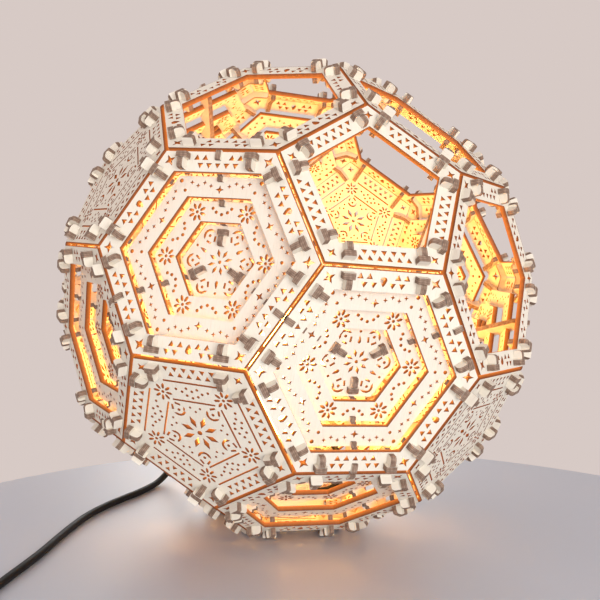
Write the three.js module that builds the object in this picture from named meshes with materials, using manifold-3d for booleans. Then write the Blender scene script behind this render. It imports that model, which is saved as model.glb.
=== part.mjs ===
// Table lamp: a hollow ball of laser-cut plywood panels (a truncated icosahedron) around one bulb.
// Millimetres, +Z up. The origin is under the ball's centre, on the surface that the lamp stands on.
import * as THREE from 'three';
import { mergeVertices } from 'three/addons/utils/BufferGeometryUtils.js';
import Module from 'manifold-3d';

const wasm = await Module();
wasm.setup();

// The ball
const EDGE = 60;                 // edge of the ideal truncated icosahedron
const PLY = 3;                   // plywood thickness
const EDGE_INSET = 1.3;          // each panel stops this far short of the ideal edge
const FRAME_BAND = 11.4;         // from the ideal edge to the opening of a frame
const HOOK_HEIGHT = 5.5;         // how far a bracket's hook stands out of a panel
const HOOK_LENGTH = 9.5;
const HOOK_OFFSET = 0.305 * EDGE; // hooks stand this far each side of an edge's middle

const PENTAGON_APOTHEM = EDGE / (2 * Math.tan(Math.PI / 5));
const HEXAGON_APOTHEM = EDGE * Math.sqrt(3) / 2;
const PENTAGON_DISTANCE = EDGE / 2 * Math.sqrt((125 + 41 * Math.sqrt(5)) / 10);
const HEXAGON_DISTANCE = EDGE * Math.sqrt(3) / 4 * (3 + Math.sqrt(5));
const BALL_HEIGHT = HOOK_HEIGHT + PENTAGON_DISTANCE;

// The stepped rings that fill a closed hexagon
const RING_STEP = 6;             // each ring lies this much deeper than the last
const RING_GAP = 0.4;            // seen from the front, between one ring and the next
const RING_BAND = 10.4;
const SPOKE_CLEARANCE = 0.3;     // under the frame
const SPOKE_OVERLAP = 0.5;       // how far a spoke is let into each ring
const SPOKE_DEPTH = 4.5;
const SPOKE_END = 7;             // how far a spoke reaches under the frame and the centre plate
const SPOKE_LIP = 0.5;           // how far it stands clear of an edge that it steps down beside

// The bulb and its holder
const JOIN_GAP = 0.3;            // between pieces that touch
const HOLDER_RADIUS = 20;
const HOLDER_BASE = BALL_HEIGHT - PENTAGON_DISTANCE + PLY + JOIN_GAP;
const HOLDER_HEIGHT = 48;
const CAP_RADIUS = 13.2;
const CAP_START = HOLDER_BASE + 17;
const GLOBE_START = HOLDER_BASE + HOLDER_HEIGHT + 0.5;
const GLOBE_RADIUS = 30;
const GLOBE_HEIGHT = 82;

// The cord and what is on it
const CORD = 4.5;                // diameter
const GLAND_HOLE = 5.3;          // radius of the hole in the plywood
const GLAND_LENGTH = 26;         // of the tapered boot
const BOOT_RADIUS = 5.2;
const BOOT_TIP_RADIUS = 3.4;
const NUT_RADIUS = 8.5;
const NUT_HEIGHT = 6;
const FLANGE_HEIGHT = 3;
const COIL_CENTRE = [-168.75, -262];
const COIL_MEAN_RADIUS = 6 * CORD;
const COIL_TURNS_WIDE = 4;
const COIL_LAYERS = 2;
const SWITCH_SIZE = { length: 58, width: 25, height: 16 };
const SWITCH_CENTRE = [-135, -201];
const ROCKER = { length: 19.6, width: 10.4, pivotHeight: 14.5, tilt: 7 };
const PLUG_START = [-202.5, -233, 6.75]; // where the tail goes into the plug
const PLUG = { relief: 24, shoulder: 30, length: 54, halfWidth: 13, thickness: 13.5 };
const PIN = { length: 20, radius: 2, offset: 9.3 };

const PANEL_PLYWOOD = { color: 0xd9b98a, roughness: 0.65, metalness: 0 };
const FRAME_PLYWOOD = { color: 0xe2c79d, roughness: 0.65, metalness: 0 };
const RING_PLYWOOD = { color: 0xcaa26c, roughness: 0.65, metalness: 0 };
const BLACK_RUBBER = { color: 0x111111, roughness: 0.55, metalness: 0 };
const BLACK_PLASTIC = { color: 0x1b1b1b, roughness: 0.4, metalness: 0 };
const WHITE_PLASTIC = { color: 0xe8e6e0, roughness: 0.45, metalness: 0 };
const CAP_METAL = { color: 0xb8b8b4, roughness: 0.3, metalness: 1 };
const OPAL_GLASS = { color: 0xfff1cf, roughness: 0.35, metalness: 0 };

function solidOf(geometry) {
  const bare = geometry.clone();
  bare.deleteAttribute('normal');
  bare.deleteAttribute('uv');
  const merged = mergeVertices(bare, 1e-4);
  return new wasm.Manifold(new wasm.Mesh({
    numProp: 3,
    vertProperties: new Float32Array(merged.attributes.position.array),
    triVerts: new Uint32Array(merged.index.array),
  }));
}

function geometryOf(solid) {
  const { vertProperties, triVerts } = solid.getMesh();
  const geometry = new THREE.BufferGeometry();
  geometry.setAttribute('position', new THREE.BufferAttribute(vertProperties, 3));
  geometry.setIndex(new THREE.BufferAttribute(triVerts, 1));
  return geometry;
}

function join(geometries) {
  return geometries.map(solidOf).reduce((all, next) => all.add(next));
}

function piece(name, shape, finish) {
  const geometry = shape.isBufferGeometry ? shape : geometryOf(shape);
  const mesh = new THREE.Mesh(geometry, new THREE.MeshStandardMaterial(finish));
  mesh.name = name;
  return mesh;
}

// A regular outline whose first corner lies at an angle from the face's own x axis.
function outline(Kind, sides, apothem, firstCorner) {
  const radius = apothem / Math.cos(Math.PI / sides);
  const path = new Kind();
  for (let i = 0; i < sides; i++) {
    const angle = firstCorner + 2 * Math.PI * i / sides;
    const corner = [radius * Math.cos(angle), radius * Math.sin(angle)];
    if (i === 0) path.moveTo(...corner);
    else path.lineTo(...corner);
  }
  path.closePath();
  return path;
}

// A flat plywood piece; its outer face lies `depth` below the face plane.
function flatPiece(face, outer, inner, depth) {
  const shape = outline(THREE.Shape, face.sides, outer, face.firstCorner);
  if (inner > 0) shape.holes.push(outline(THREE.Path, face.sides, inner, face.firstCorner));
  const geometry = new THREE.ExtrudeGeometry(shape, { depth: PLY, bevelEnabled: false });
  return geometry.translate(0, 0, -depth - PLY);
}

// A 3 mm plate that stands on edge along a face's radius, from points of (radius, height).
function uprightPlate(points, angle, offset) {
  const shape = new THREE.Shape(points.map(([r, z]) => new THREE.Vector2(r, z)));
  const geometry = new THREE.ExtrudeGeometry(shape, { depth: PLY, bevelEnabled: false });
  geometry.translate(0, 0, -PLY / 2 - offset).rotateX(Math.PI / 2);
  return geometry.rotateZ(angle);
}

function hook(face, side, sign) {
  const inner = face.apothem - EDGE_INSET - HOOK_LENGTH;
  const points = [
    [inner, -PLY / 2], [inner + HOOK_LENGTH, -PLY / 2], [inner + HOOK_LENGTH, 1.5],
    [inner + HOOK_LENGTH - 2, HOOK_HEIGHT - 0.8], [inner + HOOK_LENGTH - 3.2, HOOK_HEIGHT],
    [inner + 3.2, HOOK_HEIGHT], [inner + 2, HOOK_HEIGHT - 0.8], [inner, 1.5],
  ];
  const middle = face.firstCorner + (2 * side + 1) * Math.PI / face.sides;
  return uprightPlate(points, middle, sign * HOOK_OFFSET);
}

function hooks(face) {
  const all = [];
  for (let side = 0; side < face.sides; side++) {
    all.push(hook(face, side, -1), hook(face, side, 1));
  }
  return all;
}

function panelShape(face) {
  const outer = face.apothem - EDGE_INSET;
  const inner = face.framed ? face.apothem - FRAME_BAND : 0;
  const panel = flatPiece(face, outer, inner, 0);
  return face.hooked ? join([panel, ...hooks(face)]) : panel;
}

// Outer and inner apothems and the depth of each ring, then of the centre plate.
function ringBands(face) {
  const first = face.apothem - FRAME_BAND - RING_GAP;
  const second = first - RING_BAND - RING_GAP;
  return [
    { outer: first, inner: first - RING_BAND, depth: RING_STEP },
    { outer: second, inner: second - RING_BAND, depth: 2 * RING_STEP },
    { outer: second - RING_BAND - RING_GAP, inner: 0, depth: 3 * RING_STEP },
  ];
}

// The spoke's top edge goes down in steps under the frame, both rings and the centre plate.
function spokePoints(face, bands) {
  const opening = face.apothem - FRAME_BAND;
  const under = (band) => -band.depth - PLY + SPOKE_OVERLAP;
  const frameTop = -PLY - SPOKE_CLEARANCE;
  const [first, second, plate] = bands;
  const end = opening + SPOKE_END;
  const step = opening - RING_GAP / 3;
  const tip = plate.outer - SPOKE_END;
  return [
    [end, frameTop - SPOKE_DEPTH], [end, frameTop],
    [step, frameTop], [step, under(first)],
    [first.inner - SPOKE_LIP, under(first)], [first.inner - SPOKE_LIP, under(second)],
    [second.inner - SPOKE_LIP, under(second)], [second.inner - SPOKE_LIP, under(plate)],
    [tip, under(plate)], [tip, under(plate) - SPOKE_DEPTH],
    [plate.outer + 2, under(plate) - SPOKE_DEPTH],
  ];
}

function ringsShape(face) {
  const bands = ringBands(face);
  const parts = bands.map(({ outer, inner, depth }) => flatPiece(face, outer, inner, depth));
  const points = spokePoints(face, bands).reverse();
  for (const angle of [60, 180, 300]) {
    parts.push(uprightPlate(points, THREE.MathUtils.degToRad(angle), 0));
  }
  const rings = join(parts);
  if (!face.gland) return rings;
  const hole = new THREE.CylinderGeometry(GLAND_HOLE, GLAND_HOLE, 20, 24).rotateX(Math.PI / 2);
  return rings.subtract(solidOf(hole.translate(0, 0, -3 * RING_STEP)));
}

function direction(z, degrees) {
  const angle = THREE.MathUtils.degToRad(degrees);
  const radius = Math.sqrt(1 - z * z);
  return new THREE.Vector3(radius * Math.cos(angle), radius * Math.sin(angle), z);
}

// The twelve pentagons lie along the corners of an icosahedron that stands on one corner.
const RING_Z = 1 / Math.sqrt(5);
const TOP = new THREE.Vector3(0, 0, 1);
const BASE = new THREE.Vector3(0, 0, -1);
const upper = [0, 1, 2, 3, 4].map((k) => direction(RING_Z, 72 * k));
const lower = [0, 1, 2, 3, 4].map((k) => direction(-RING_Z, 72 * k + 36));

function pentagon(name, normal, toward, extra = {}) {
  return {
    name: `pentagon_${name}`, sides: 5, apothem: PENTAGON_APOTHEM, firstCorner: 0,
    distance: PENTAGON_DISTANCE, normal, toward, ...extra,
  };
}

// A hexagon lies between three neighbouring pentagons and has its x axis toward the first.
function hexagon(name, first, second, third, extra = {}) {
  return {
    name: `hexagon_${name}`, sides: 6, apothem: HEXAGON_APOTHEM, firstCorner: Math.PI / 6,
    distance: HEXAGON_DISTANCE, normal: first.clone().add(second).add(third).normalize(),
    toward: first, framed: true, ...extra,
  };
}

function ballFaces() {
  const faces = [
    pentagon('top', TOP, upper[0], { framed: true, hooked: true }),
    pentagon('base', BASE, lower[0], { hooked: true }),
  ];
  for (let k = 0; k < 5; k++) {
    const next = (k + 1) % 5;
    faces.push(
      pentagon(`upper_${k}`, upper[k], TOP, { framed: k === 0 || k === 4 }),
      pentagon(`lower_${k}`, lower[k], BASE),
      hexagon(`crown_${k}`, TOP, upper[k], upper[next], { open: k === 0 || k > 2 }),
      hexagon(`shoulder_${k}`, lower[k], upper[k], upper[next], { open: k === 4 }),
      hexagon(`waist_${k}`, upper[next], lower[k], lower[next]),
      hexagon(`foot_${k}`, BASE, lower[k], lower[next], { gland: k === 1 }),
    );
  }
  return faces;
}

// Turns and lifts what was made in a face's own frame onto that face.
function faceGroup(face) {
  const x = face.toward.clone().addScaledVector(face.normal, -face.toward.dot(face.normal));
  x.normalize();
  const y = face.normal.clone().cross(x);
  const group = new THREE.Group();
  group.quaternion.setFromRotationMatrix(new THREE.Matrix4().makeBasis(x, y, face.normal));
  group.position.copy(face.normal).multiplyScalar(face.distance);
  group.add(piece(face.name, panelShape(face), face.framed ? FRAME_PLYWOOD : PANEL_PLYWOOD));
  if (face.sides === 6 && !face.open) {
    group.add(piece(face.name.replace('hexagon', 'rings'), ringsShape(face), RING_PLYWOOD));
  }
  if (face.gland) group.add(cableGland());
  return group;
}

function turned(points, segments = 24) {
  const profile = points.map(([r, z]) => new THREE.Vector2(r, z));
  return new THREE.LatheGeometry(profile, segments).rotateX(Math.PI / 2);
}

// The gland clamps the centre plate between its nut and its flange; the boot points outwards.
function cableGland() {
  const face = -3 * RING_STEP;
  const back = face - PLY - JOIN_GAP;
  const front = face + JOIN_GAP;
  const neck = GLAND_HOLE - JOIN_GAP;
  const boot = front + FLANGE_HEIGHT;
  const profile = [
    [0, back - NUT_HEIGHT], [NUT_RADIUS - 1, back - NUT_HEIGHT],
    [NUT_RADIUS, back - NUT_HEIGHT + 1], [NUT_RADIUS, back], [neck, back], [neck, front],
    [NUT_RADIUS - 0.5, front], [NUT_RADIUS - 0.5, boot - 0.8], [NUT_RADIUS - 2.5, boot],
    [BOOT_RADIUS, boot], [BOOT_TIP_RADIUS, boot + GLAND_LENGTH], [0, boot + GLAND_LENGTH],
  ];
  return piece('cable_gland', turned(profile), BLACK_RUBBER);
}

function lampholder() {
  const top = HOLDER_HEIGHT;
  const bore = CAP_RADIUS + 1;
  const profile = [
    [0, 0], [28, 0], [28, 3], [26.5, 4], [HOLDER_RADIUS, 4], [HOLDER_RADIUS, top - 14],
    [HOLDER_RADIUS + 1, top - 13], [HOLDER_RADIUS + 1, top - 1], [HOLDER_RADIUS, top],
    [bore, top], [bore, 14], [0, 14],
  ];
  return piece('lampholder', turned(profile).translate(0, 0, HOLDER_BASE), WHITE_PLASTIC);
}

function bulb() {
  const capEnd = GLOBE_START - CAP_START - JOIN_GAP;
  const cap = [
    [0, -1.5], [4, -1.5], [5, 0], [CAP_RADIUS - 3, 2], [CAP_RADIUS, 4],
    [CAP_RADIUS, capEnd], [0, capEnd],
  ];
  const centre = GLOBE_HEIGHT - GLOBE_RADIUS;
  const globe = [[0, 0], [14, 0], [15.5, 6], [19, 18], [25, 32]];
  for (let degrees = -20; degrees < 90; degrees += 18) {
    const angle = THREE.MathUtils.degToRad(degrees);
    globe.push([GLOBE_RADIUS * Math.cos(angle), centre + GLOBE_RADIUS * Math.sin(angle)]);
  }
  globe.push([0, GLOBE_HEIGHT]);
  return [
    piece('bulb_cap', turned(cap).translate(0, 0, CAP_START), CAP_METAL),
    piece('bulb_globe', turned(globe).translate(0, 0, GLOBE_START), OPAL_GLASS),
  ];
}

function tube(name, points, steps) {
  const curve = new THREE.CatmullRomCurve3(points.map((p) => new THREE.Vector3(...p)));
  const section = outline(THREE.Shape, 8, CORD / 2 * Math.cos(Math.PI / 8), 0);
  const options = { steps, bevelEnabled: false, extrudePath: curve };
  return piece(name, new THREE.ExtrudeGeometry(section, options), BLACK_RUBBER);
}

// From the holder's side once round the holder and up to the back of the gland's nut.
function innerLead() {
  const route = [
    [20.6, 3.6, 17], [26, 4.6, 17], [33, 8, 18.5], [38, 16, 23], [38.5, 27, 31], [32, 38, 42],
    [20, 47, 53], [4, 52.5, 61], [-13, 53.5, 65.5], [-28.5, 48, 67.5],
    [-41, 38, 67.8], [-50.2, 31, 66.8],
  ];
  return tube('inner_lead', route, 24);
}

// The free cord's route, on its own centreline.
const LEAD_ROUTE = [
  [-72.55, 52.7, 27.8], [-74.4, 54, 24.8], [-77.5, 55.3, 20], [-80.9, 54.7, 15.1],
  [-84.2, 52.2, 10.6], [-87.2, 47.8, 6.9], [-89.6, 41.8, 4.3], [-92, 34, 2.7],
  [-95, 25, 2.3], [-99.4, 13, 2.3], [-106, -1, 2.3], [-113, -17, 2.3], [-118.5, -34, 2.3],
  [-121.6, -52, 2.3], [-123.6, -72, 2.3], [-125, -90, 2.3], [-127, -106, 2.3],
  [-129.4, -122, 2.3], [-131.6, -137, 2.3], [-133.6, -150, 3.3], [-134.8, -161, 5.6],
  [-135, -171.7, 6.75],
];
const LINK_ROUTE = [[-135, -230.3, 6.75], [-135, -237, 6.1], [-135, -244, 4.6]];
const TAIL_ROUTE = [[-202.5, -244, 6.75], [-202.5, -238.6, 6.75], [-202.5, -233.3, 6.75]];

function cordCoil() {
  const half = COIL_TURNS_WIDE * CORD / 2;
  const height = COIL_LAYERS * CORD;
  const [inner, outer] = [COIL_MEAN_RADIUS - half, COIL_MEAN_RADIUS + half];
  const profile = [[inner, 0], [outer, 0], [outer, height], [inner, height], [inner, 0]];
  return piece('cord_coil', turned(profile, 32).translate(...COIL_CENTRE, 0), BLACK_RUBBER);
}

function roundedBar(length, width, height, radius) {
  const [x, y] = [width / 2, length / 2];
  const shape = new THREE.Shape();
  shape.absarc(x - radius, y - radius, radius, 0, Math.PI / 2);
  shape.absarc(-x + radius, y - radius, radius, Math.PI / 2, Math.PI);
  shape.absarc(-x + radius, -y + radius, radius, Math.PI, 1.5 * Math.PI);
  shape.absarc(x - radius, -y + radius, radius, 1.5 * Math.PI, 2 * Math.PI);
  shape.closePath();
  return new THREE.ExtrudeGeometry(shape, { depth: height, bevelEnabled: false, curveSegments: 6 });
}

// An inline switch on the cord. Its rocker turns about the switch's width.
function inlineSwitch() {
  const { length, width, height } = SWITCH_SIZE;
  const body = solidOf(roundedBar(length, width, height, 9));
  const pocket = new THREE.BoxGeometry(ROCKER.width + 0.8, ROCKER.length + 1.4, 12);
  const shell = body.subtract(solidOf(pocket.translate(0, 0, height)));
  const [x, y] = SWITCH_CENTRE;
  const half = ROCKER.length / 2;
  const outlinePoints = [
    [-half, -1], [-half + 4, -3.2], [half - 4, -3.2], [half, -1],
    [half, 3.4], [0, 2.2], [-half, 3.4],
  ];
  const side = new THREE.Shape(outlinePoints.map(([along, up]) => new THREE.Vector2(along, up)));
  const rocker = new THREE.ExtrudeGeometry(side, { depth: ROCKER.width, bevelEnabled: false });
  rocker.translate(0, 0, -ROCKER.width / 2).rotateX(Math.PI / 2).rotateZ(Math.PI / 2);
  rocker.rotateX(-THREE.MathUtils.degToRad(ROCKER.tilt));
  const button = piece('switch_rocker', rocker, BLACK_PLASTIC);
  button.position.set(x, y, ROCKER.pivotHeight);
  const housing = piece('switch_body', shell, BLACK_PLASTIC);
  housing.position.set(x, y, 0);
  return [housing, button];
}

// A flat two-pin plug with its strain relief, lying on its side and pointing along +Y.
function plug() {
  const { relief, shoulder, length, halfWidth, thickness } = PLUG;
  const neck = [halfWidth - 6, relief - 2];
  const points = [
    [-neck[0], neck[1]], neck, [halfWidth, shoulder], [halfWidth, length],
    [-halfWidth, length], [-halfWidth, shoulder],
  ];
  const body = new THREE.Shape(points.map(([across, along]) => new THREE.Vector2(across, along)));
  const options = { depth: thickness, bevelEnabled: false };
  const housing = new THREE.ExtrudeGeometry(body, options).translate(0, 0, -thickness / 2);
  const boot = new THREE.CylinderGeometry(4.6, 3.2, relief, 16).translate(0, relief / 2, 0);
  const parts = [housing, boot];
  for (const across of [-PIN.offset, PIN.offset]) {
    const pin = new THREE.CylinderGeometry(PIN.radius, PIN.radius, PIN.length, 12);
    parts.push(pin.translate(across, length + PIN.length / 2 - 0.5, 0));
  }
  const whole = piece('plug', join(parts), BLACK_PLASTIC);
  whole.position.set(...PLUG_START);
  return whole;
}

const lamp = new THREE.Group();
const ball = new THREE.Group();
ball.position.z = BALL_HEIGHT;
for (const face of ballFaces()) ball.add(faceGroup(face));
lamp.add(
  ball, lampholder(), ...bulb(), innerLead(),
  tube('cord_lead', LEAD_ROUTE, 34), tube('cord_link', LINK_ROUTE, 3),
  tube('cord_tail', TAIL_ROUTE, 2), cordCoil(), ...inlineSwitch(), plug(),
);

export default lamp;
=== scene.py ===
"""A table lamp: a hollow ball of laser-cut plywood panels around one bulb, with its cord and switch."""

import math
from typing import NamedTuple

import bmesh
import bpy
import numpy as np
from mathutils import Matrix, Quaternion, Vector


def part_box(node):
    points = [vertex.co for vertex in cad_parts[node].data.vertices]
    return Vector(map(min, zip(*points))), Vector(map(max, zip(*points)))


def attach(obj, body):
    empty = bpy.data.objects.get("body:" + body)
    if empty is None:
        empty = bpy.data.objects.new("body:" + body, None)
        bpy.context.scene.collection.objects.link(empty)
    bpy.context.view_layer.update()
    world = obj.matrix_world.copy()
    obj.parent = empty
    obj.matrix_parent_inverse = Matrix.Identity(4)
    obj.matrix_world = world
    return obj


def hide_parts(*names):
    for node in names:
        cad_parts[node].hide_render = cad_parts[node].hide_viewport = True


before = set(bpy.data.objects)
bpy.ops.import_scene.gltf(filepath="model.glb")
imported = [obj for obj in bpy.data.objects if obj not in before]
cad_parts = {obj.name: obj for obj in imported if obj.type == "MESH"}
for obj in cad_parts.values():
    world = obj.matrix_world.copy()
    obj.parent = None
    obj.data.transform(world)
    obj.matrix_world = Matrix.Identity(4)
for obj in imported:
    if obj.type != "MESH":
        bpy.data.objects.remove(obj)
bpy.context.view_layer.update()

# Lengths are in millimetres, and MM turns a finished piece into metres.
MM = 0.001
TAU = 2 * math.pi

# The ball
PLY = 3.0
EDGE_INSET = 1.3
FRAME_BAND = 11.4
HOOK_HEIGHT = 5.5
BALL_HEIGHT = (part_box("pentagon_top")[1].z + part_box("pentagon_base")[0].z) / 2 / MM
PENTAGON_DISTANCE = BALL_HEIGHT - HOOK_HEIGHT
EDGE = 2 * PENTAGON_DISTANCE / math.sqrt((125 + 41 * math.sqrt(5)) / 10)
HEXAGON_DISTANCE = EDGE * math.sqrt(3) / 4 * (3 + math.sqrt(5))
PENTAGON_APOTHEM = EDGE / (2 * math.tan(math.pi / 5))
HEXAGON_APOTHEM = EDGE * math.sqrt(3) / 2
HOOK_OFFSET = 0.305 * EDGE
SLIP = 0.05                  # on each side of a plate that stands in a slot or notch
PANEL_GAP = 0.15             # between a panel and the bracket that holds it

# The stepped rings in a closed hexagon
RING_STEP = 6.0
RING_GAP = 0.4
RING_BAND = 10.4
OPENING = HEXAGON_APOTHEM - FRAME_BAND
RING_1 = OPENING - RING_GAP
RING_2 = RING_1 - RING_BAND - RING_GAP
PLATE = RING_2 - RING_BAND - RING_GAP

# The cord
CORD = 4.5
COIL_CENTRE = (-168.75, -262.0)
COIL_OUTER = 33.75
SWITCH_CENTRE = (-135.0, -201.0)
SWITCH_SIZE = (25.0, 58.0, 16.0)
PIVOT_HEIGHT = 14.5
PLUG_START = (-202.5, -233.0, 6.75)


# ---------------------------------------------------------------- node trees

class Wire:
    """One output of a node, which is written like a number in an expression."""

    def __init__(self, tree, node, out=0):
        self.tree = tree
        self.node = node
        self.out = out

    @property
    def socket(self):
        return self.node.outputs[self.out]

    def __getitem__(self, out):
        return Wire(self.tree, self.node, out)

    def maths(self, operation, *values):
        return self.tree.add("ShaderNodeMath", {"operation": operation}, dict(enumerate(values)))

    def __add__(self, other):
        return self.maths("ADD", self, other)

    def __radd__(self, other):
        return self.maths("ADD", other, self)

    def __sub__(self, other):
        return self.maths("SUBTRACT", self, other)

    def __rsub__(self, other):
        return self.maths("SUBTRACT", other, self)

    def __mul__(self, other):
        return self.maths("MULTIPLY", self, other)

    def __rmul__(self, other):
        return self.maths("MULTIPLY", other, self)

    def __abs__(self):
        return self.maths("ABSOLUTE", self)


class Tree:
    """A node tree. Each of its nodes comes from add()."""

    def __init__(self, nodes):
        self.nodes = nodes

    def add(self, kind, settings=None, values=None):
        node = self.nodes.nodes.new(kind)
        for name, value in (settings or {}).items():
            if name == "stops":
                set_stops(node.color_ramp, value)
            else:
                setattr(node, name, value)
        for socket, value in (values or {}).items():
            self.feed(node.inputs[socket], value)
        return Wire(self, node)

    def feed(self, socket, value):
        """Links a wire, or each wire of a list, to a socket, or sets the socket's own value."""
        for one in value if isinstance(value, list) else [value]:
            if isinstance(one, Wire):
                self.nodes.links.new(one.socket, socket)
            else:
                socket.default_value = one

    def mixed(self, share, first, second):
        """A colour between two others."""
        return self.add("ShaderNodeMix", {"data_type": "RGBA"}, {0: share, 6: first, 7: second})[2]


def set_stops(ramp, stops):
    while len(ramp.elements) < len(stops):
        ramp.elements.new(1.0)
    for element, (place, value) in zip(ramp.elements, stops):
        element.position = place
        element.color = (value, value, value, 1.0)


# ---------------------------------------------------------------- camera and cord

CAMERA_AT = Vector((0.015342, -0.451485, 0.172112))
CAMERA_AIM = Vector((0.00232, 0.00006, 0.14496))
CAMERA_ROLL = math.radians(4.324)
CAMERA_LENS = 41.19


def make_camera():
    camera = bpy.data.objects.new("camera", bpy.data.cameras.new("camera"))
    bpy.context.scene.collection.objects.link(camera)
    camera.data.lens = CAMERA_LENS
    camera.data.clip_start = 0.01
    camera.location = CAMERA_AT
    camera.rotation_mode = "QUATERNION"
    level = (CAMERA_AIM - CAMERA_AT).to_track_quat("-Z", "Y")
    camera.rotation_quaternion = level @ Quaternion((0, 0, 1), CAMERA_ROLL)
    bpy.context.scene.camera = camera


# Given on the cord's own centreline: from the gland down to the table and to the switch,
LEAD_ROUTE = [
    (-72.55, 52.7, 27.8), (-74.4, 54, 24.8), (-77.5, 55.3, 20), (-80.9, 54.7, 15.1),
    (-84.2, 52.2, 10.6), (-87.2, 47.8, 6.9), (-89.6, 41.8, 4.3), (-92, 34, 2.7),
    (-95, 25, 2.3), (-99.4, 13, 2.3), (-106, -1, 2.3), (-113, -17, 2.3), (-118.5, -34, 2.3),
    (-121.6, -52, 2.3), (-123.6, -72, 2.3), (-125, -90, 2.3), (-127, -106, 2.3),
    (-129.4, -122, 2.3), (-131.6, -137, 2.3), (-133.6, -150, 3.3), (-134.8, -161, 5.6),
    (-135, -171.7, 6.75),
]
# through the switch and on to the coil,
LINK_ROUTE = [
    (-135, -187, 6.75), (-135, -201, 6.75), (-135, -216, 6.75), (-135, -230.3, 6.75),
    (-135, -237, 6.1), (-135, -244, 4.6), (-135, -248, 3.4), (-135, -252, 2.6), (-135, -257, 2.28),
]
# and from the coil to the plug.
TAIL_ROUTE = [(-202.5, -253, 6.75), (-202.5, -244, 6.75), (-202.5, -233.3, 6.75)]

TURNS_WIDE = 4
COIL_TURNS = 7.5
POINTS_A_TURN = 20
STEP_IN = (0.7, 1.0)         # the part of each lower turn in which it moves one cord inwards
CLIMB = (3.6, 3.88)          # the turn in which it climbs to the upper layer
STEP_OUT = (0.3, 0.6)        # the part of each upper turn in which it moves one cord outwards


def eased(value, limits):
    """0 before the limits, 1 after them and a smooth step between."""
    share = min(1.0, max(0.0, (value - limits[0]) / (limits[1] - limits[0])))
    return share * share * (3 - 2 * share)


def coil_point(turn):
    """Where the coiled cord is after a number of turns, in at the bottom and out again on top."""
    steps_in = sum(eased(turn - k, STEP_IN) for k in range(TURNS_WIDE - 1))
    steps_out = sum(eased(turn - k, STEP_OUT) for k in range(TURNS_WIDE, 2 * TURNS_WIDE - 1))
    radius = COIL_OUTER - CORD * (steps_in - steps_out)
    height = CORD / 2 + CORD * eased(turn, CLIMB)
    angle = -TAU * turn
    return (COIL_CENTRE[0] + radius * math.cos(angle), COIL_CENTRE[1] + radius * math.sin(angle), height)


def cord_route():
    count = round(COIL_TURNS * POINTS_A_TURN)
    coil = [coil_point(i / POINTS_A_TURN) for i in range(count + 1)]
    return [Vector(p) * MM for p in LEAD_ROUTE + LINK_ROUTE + coil + TAIL_ROUTE]


def tube(name, route, radius):
    """A round cord along a smooth line through its route's points."""
    curve = bpy.data.curves.new(name, "CURVE")
    curve.dimensions = "3D"
    curve.bevel_depth = radius
    curve.bevel_resolution = 4
    curve.resolution_u = 5
    curve.use_fill_caps = True
    spline = curve.splines.new("BEZIER")
    spline.bezier_points.add(len(route) - 1)
    for point, place in zip(spline.bezier_points, route):
        point.co = place
        point.handle_left_type = "AUTO"
        point.handle_right_type = "AUTO"
    piece = bpy.data.objects.new(name, curve)
    bpy.context.scene.collection.objects.link(piece)
    return piece


def length_of(piece):
    """The length of a curve's own line, as it is drawn."""
    spline = piece.data.splines[0]
    total = 0.0
    for first, second in zip(spline.bezier_points[:-1], spline.bezier_points[1:]):
        ends = (first.co, first.handle_right, second.handle_left, second.co)
        line = interpolated(*ends, piece.data.resolution_u + 1)
        total += sum((b - a).length for a, b in zip(line, line[1:]))
    return total


def interpolated(start, out, back, end, count):
    """Points along one stretch of a Bezier curve."""
    points = []
    for i in range(count):
        t = i / (count - 1)
        s = 1 - t
        points.append(s ** 3 * start + 3 * s * s * t * out + 3 * s * t * t * back + t ** 3 * end)
    return points


make_camera()
cord = tube("cord", cord_route(), CORD / 2 * MM)


# ---------------------------------------------------------------- finishes

def finish(name, build):
    """A material whose shader comes from build(tree)."""
    material = bpy.data.materials.new(name)
    material.use_nodes = True
    material.node_tree.nodes.clear()
    tree = Tree(material.node_tree)
    tree.add("ShaderNodeOutputMaterial", {}, {"Surface": build(tree)})
    return material


def surface(tree, colour, roughness, bump=None, strength=0.2, depth=0.0002, **constants):
    """A Principled shader. A bump height is given in its own strength and depth, in metres."""
    values = {"Base Color": colour, "Roughness": roughness, **constants}
    if bump is not None:
        height = {"Height": bump, "Strength": strength, "Distance": depth}
        values["Normal"] = tree.add("ShaderNodeBump", {}, height)
    return tree.add("ShaderNodeBsdfPrincipled", {}, values)


def noise(tree, place, scale, detail=3.0):
    values = {"Vector": place, "Scale": scale, "Detail": detail}
    return tree.add("ShaderNodeTexNoise", {"noise_dimensions": "3D"}, values)


def stretched(tree, place, scale):
    """A place whose three axes are scaled each by its own amount."""
    return tree.add("ShaderNodeMapping", {}, {"Vector": place, "Scale": scale})


def sheet_place(tree):
    """Millimetres within the plywood sheet that a piece was cut from, z through its thickness."""
    return tree.add("ShaderNodeAttribute", {"attribute_name": "sheet"})["Vector"]


def object_place(tree):
    return tree.add("ShaderNodeTexCoord")["Object"]


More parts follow.
